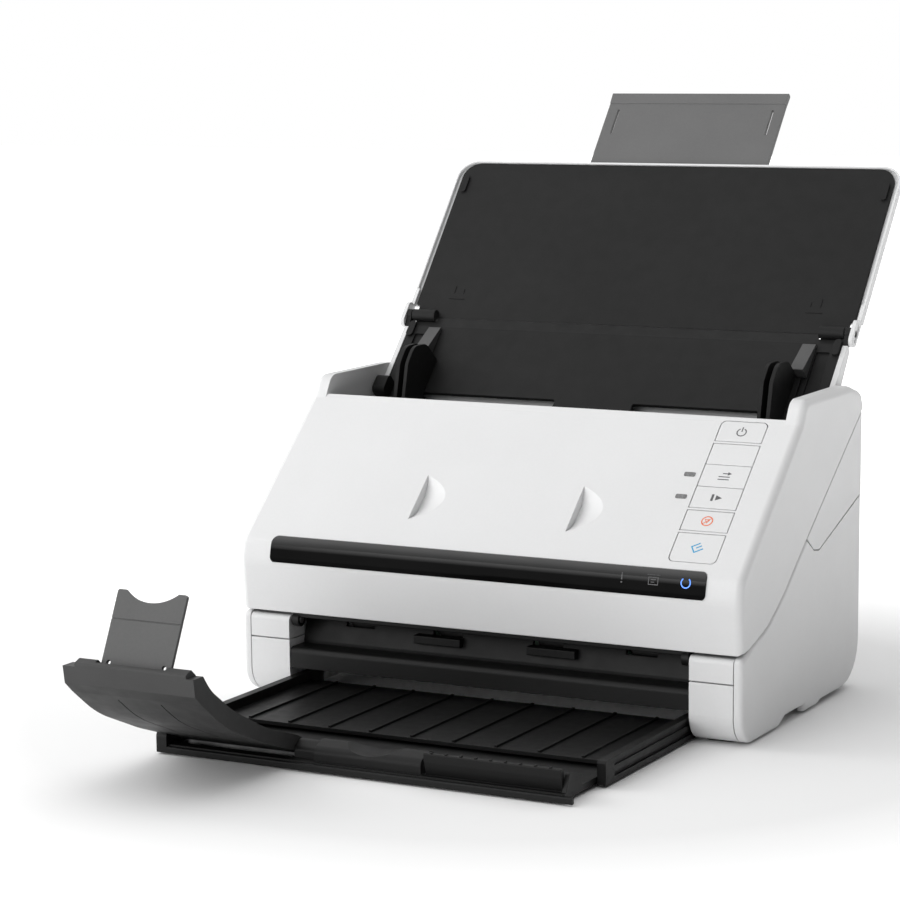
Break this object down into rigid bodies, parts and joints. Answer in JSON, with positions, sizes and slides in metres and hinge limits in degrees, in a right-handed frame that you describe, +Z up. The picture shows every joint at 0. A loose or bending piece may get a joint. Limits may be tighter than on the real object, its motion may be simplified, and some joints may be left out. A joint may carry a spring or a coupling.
{
  "type": "sheet fed document scanner",
  "caption": "Desktop sheet fed document scanner with an opening cover, a folding input tray with edge guides, and a sliding output tray with a tilting ramp and paper stop.",
  "frame": {"origin": "bottom centre of the bounding box with the trays deployed; z = 0 is the table under the feet", "axes": "+X to the scanner's right as seen from the front, +Y from front to back, +Z up"},
  "size_m": [0.296, 0.5034, 0.3207],
  "materials": {
    "body_white": "fine matte moulded texture",
    "inner_grey": "satin",
    "tray_charcoal": "fine matte moulded texture",
    "tray_grey": "fine matte moulded texture",
    "output_black": "semi matte",
    "strip_black": "high gloss",
    "window_grey": "gloss",
    "steel": "brushed",
    "roller_rubber": "matte",
    "board_green": "solder mask",
    "socket_metal": "plated",
    "sensor_glass": "polished"
  },
  "bodies": {
    "base": {"bottom_chassis": "body_white", "side_frames": "steel", "right_side_panel": "body_white", "left_side_panel": "body_white", "front_corners": "body_white", "hinge_caps": "body_white", "hinge_pins": "steel", "exit_ledge": "output_black", "exit_wall": "output_black", "lower_guide": "output_black", "lower_sensor_unit": "output_black", "lower_sensor_glass": "sensor_glass", "rear_cover": "body_white", "usb_socket": "socket_metal", "dc_inlet": "output_black", "main_board": "board_green", "rubber_feet": "roller_rubber", "rear_screws": "steel", "lower_tray_panel": "tray_charcoal", "lower_tray_shell": "body_white", "tray_mounts": "tray_charcoal", "drive_belt": "roller_rubber", "drive_motor": "steel"},
    "cover": {"cover_shell": "body_white", "gloss_strip": "strip_black", "status_windows": "window_grey", "upper_guide": "output_black", "exit_lip": "output_black", "key_board": "board_green", "key_filler": "body_white", "upper_sensor_unit": "output_black", "upper_sensor_glass": "sensor_glass"},
    "power_key": {"power_key": "body_white"},
    "feed_mode_key": {"feed_mode_key": "body_white"},
    "skip_key": {"skip_key": "body_white"},
    "stop_key": {"stop_key": "body_white"},
    "start_key": {"start_key": "body_white"},
    "cover_lever": {"cover_lever": "body_white"},
    "transport_roller": {"transport_roller_shaft": "steel", "transport_roller_tyres": "roller_rubber"},
    "exit_roller": {"exit_roller_shaft": "steel", "exit_roller_tyres": "roller_rubber"},
    "feed_roller": {"feed_roller_shaft": "steel", "feed_roller_tyres": "roller_rubber"},
    "motor_rotor": {"motor_rotor": "steel"},
    "exit_pinch_roller": {"exit_pinch_roller": "roller_rubber"},
    "transport_pinch_roller": {"transport_pinch_roller": "roller_rubber"},
    "separation_roller": {"separation_roller": "roller_rubber"},
    "upper_tray": {"upper_tray_panel": "tray_charcoal", "upper_tray_shell": "body_white"},
    "tray_extension": {"tray_extension": "tray_grey"},
    "left_guide": {"left_edge_guide": "tray_charcoal", "left_guide_pointer": "inner_grey"},
    "right_guide": {"right_edge_guide": "tray_charcoal", "right_guide_pointer": "inner_grey"},
    "guide_pinion": {"guide_pinion": "output_black"},
    "output_tray": {"output_tray": "output_black"},
    "output_slide": {"output_slide": "output_black"},
    "output_ramp": {"output_ramp": "tray_grey"},
    "output_stop": {"output_stop": "tray_grey"}
  },
  "joints": [
    {"name": "cover_hinge", "type": "hinge", "parent": "base", "child": "cover", "pos_m": [0, -0.03181, 0.044], "axis": [1, 0, 0], "range_deg": [0, 50]},
    {"name": "power_key_press", "type": "slide", "parent": "cover", "child": "power_key", "axis": [0, 0.663, -0.7486], "range_m": [0, 0.0008], "stiffness_N_per_m": 250, "springref_m": -0.0006},
    {"name": "feed_mode_key_press", "type": "slide", "parent": "cover", "child": "feed_mode_key", "axis": [0, 0.663, -0.7486], "range_m": [0, 0.0008], "stiffness_N_per_m": 250, "springref_m": -0.0006},
    {"name": "skip_key_press", "type": "slide", "parent": "cover", "child": "skip_key", "axis": [0, 0.663, -0.7486], "range_m": [0, 0.0008], "stiffness_N_per_m": 250, "springref_m": -0.0006},
    {"name": "stop_key_press", "type": "slide", "parent": "cover", "child": "stop_key", "axis": [0, 0.663, -0.7486], "range_m": [0, 0.0008], "stiffness_N_per_m": 250, "springref_m": -0.0006},
    {"name": "start_key_press", "type": "slide", "parent": "cover", "child": "start_key", "axis": [0, 0.663, -0.7486], "range_m": [0, 0.0008], "stiffness_N_per_m": 250, "springref_m": -0.0006},
    {"name": "lever_swing", "type": "hinge", "parent": "base", "child": "cover_lever", "pos_m": [0.1467, 0.13049, 0.125], "axis": [0, 0, 1], "range_deg": [0, 22], "stiffness_Nm_per_rad": 0.06, "springref_deg": -8.59},
    {"name": "transport_spin", "type": "hinge", "parent": "base", "child": "transport_roller", "pos_m": [0, 0.0435, 0.08488], "axis": [1, 0, 0], "continuous": true},
    {"name": "exit_spin", "type": "hinge", "parent": "base", "child": "exit_roller", "pos_m": [0, -0.00515, 0.04328], "axis": [1, 0, 0], "continuous": true},
    {"name": "feed_spin", "type": "hinge", "parent": "base", "child": "feed_roller", "pos_m": [0, 0.06191, 0.0972], "axis": [1, 0, 0], "continuous": true},
    {"name": "motor_spin", "type": "hinge", "parent": "base", "child": "motor_rotor", "pos_m": [0, 0.05541, 0.04632], "axis": [1, 0, 0], "continuous": true},
    {"name": "exit_pinch_spin", "type": "hinge", "parent": "cover", "child": "exit_pinch_roller", "pos_m": [0, -0.01426, 0.05394], "axis": [1, 0, 0], "continuous": true},
    {"name": "transport_pinch_spin", "type": "hinge", "parent": "cover", "child": "transport_pinch_roller", "pos_m": [0, 0.03374, 0.09629], "axis": [1, 0, 0], "continuous": true},
    {"name": "separation_spin", "type": "hinge", "parent": "cover", "child": "separation_roller", "pos_m": [0, 0.04818, 0.11325], "axis": [1, 0, 0], "continuous": true},
    {"name": "tray_fold", "type": "hinge", "parent": "base", "child": "upper_tray", "pos_m": [0, 0.13919, 0.194], "axis": [-1, 0, 0], "range_deg": [-138, 0]},
    {"name": "extension_slide", "type": "slide", "parent": "upper_tray", "child": "tray_extension", "axis": [0, 0.6401, 0.7683], "range_m": [-0.045, 0]},
    {"name": "left_guide_slide", "type": "slide", "parent": "base", "child": "left_guide", "axis": [1, 0, 0], "range_m": [0, 0.078]},
    {"name": "right_guide_slide", "type": "slide", "parent": "base", "child": "right_guide", "axis": [1, 0, 0], "range_m": [-0.078, 0]},
    {"name": "pinion_turn", "type": "hinge", "parent": "base", "child": "guide_pinion", "pos_m": [0, 0.10289, 0.14849], "axis": [0, -0.7254, 0.6884], "range_deg": [0, 560]},
    {"name": "tray_slide", "type": "slide", "parent": "base", "child": "output_tray", "axis": [0, -1, 0], "range_m": [-0.1, 0]},
    {"name": "slide_out", "type": "slide", "parent": "output_tray", "child": "output_slide", "axis": [0, -1, 0], "range_m": [-0.027, 0]},
    {"name": "ramp_tilt", "type": "hinge", "parent": "output_slide", "child": "output_ramp", "pos_m": [0, -0.15631, 0.0086], "axis": [-1, 0, 0], "range_deg": [-13, 0]},
    {"name": "stop_fold", "type": "hinge", "parent": "output_ramp", "child": "output_stop", "pos_m": [0, -0.24541, 0.0611], "axis": [1, 0, 0], "range_deg": [-97, 0]}
  ],
  "couplings": [
    {"joint": "exit_spin", "follows": "transport_spin", "ratio": 1},
    {"joint": "feed_spin", "follows": "transport_spin", "ratio": 0.8},
    {"joint": "motor_spin", "follows": "transport_spin", "ratio": 1.3333},
    {"joint": "exit_pinch_spin", "follows": "transport_spin", "ratio": -1.78},
    {"joint": "transport_pinch_spin", "follows": "transport_spin", "ratio": -1.4833},
    {"joint": "separation_spin", "follows": "transport_spin", "ratio": -0.96842},
    {"joint": "right_guide_slide", "follows": "left_guide_slide", "ratio": -1},
    {"joint": "pinion_turn", "follows": "left_guide_slide", "rad_per_m": 125}
  ]
}
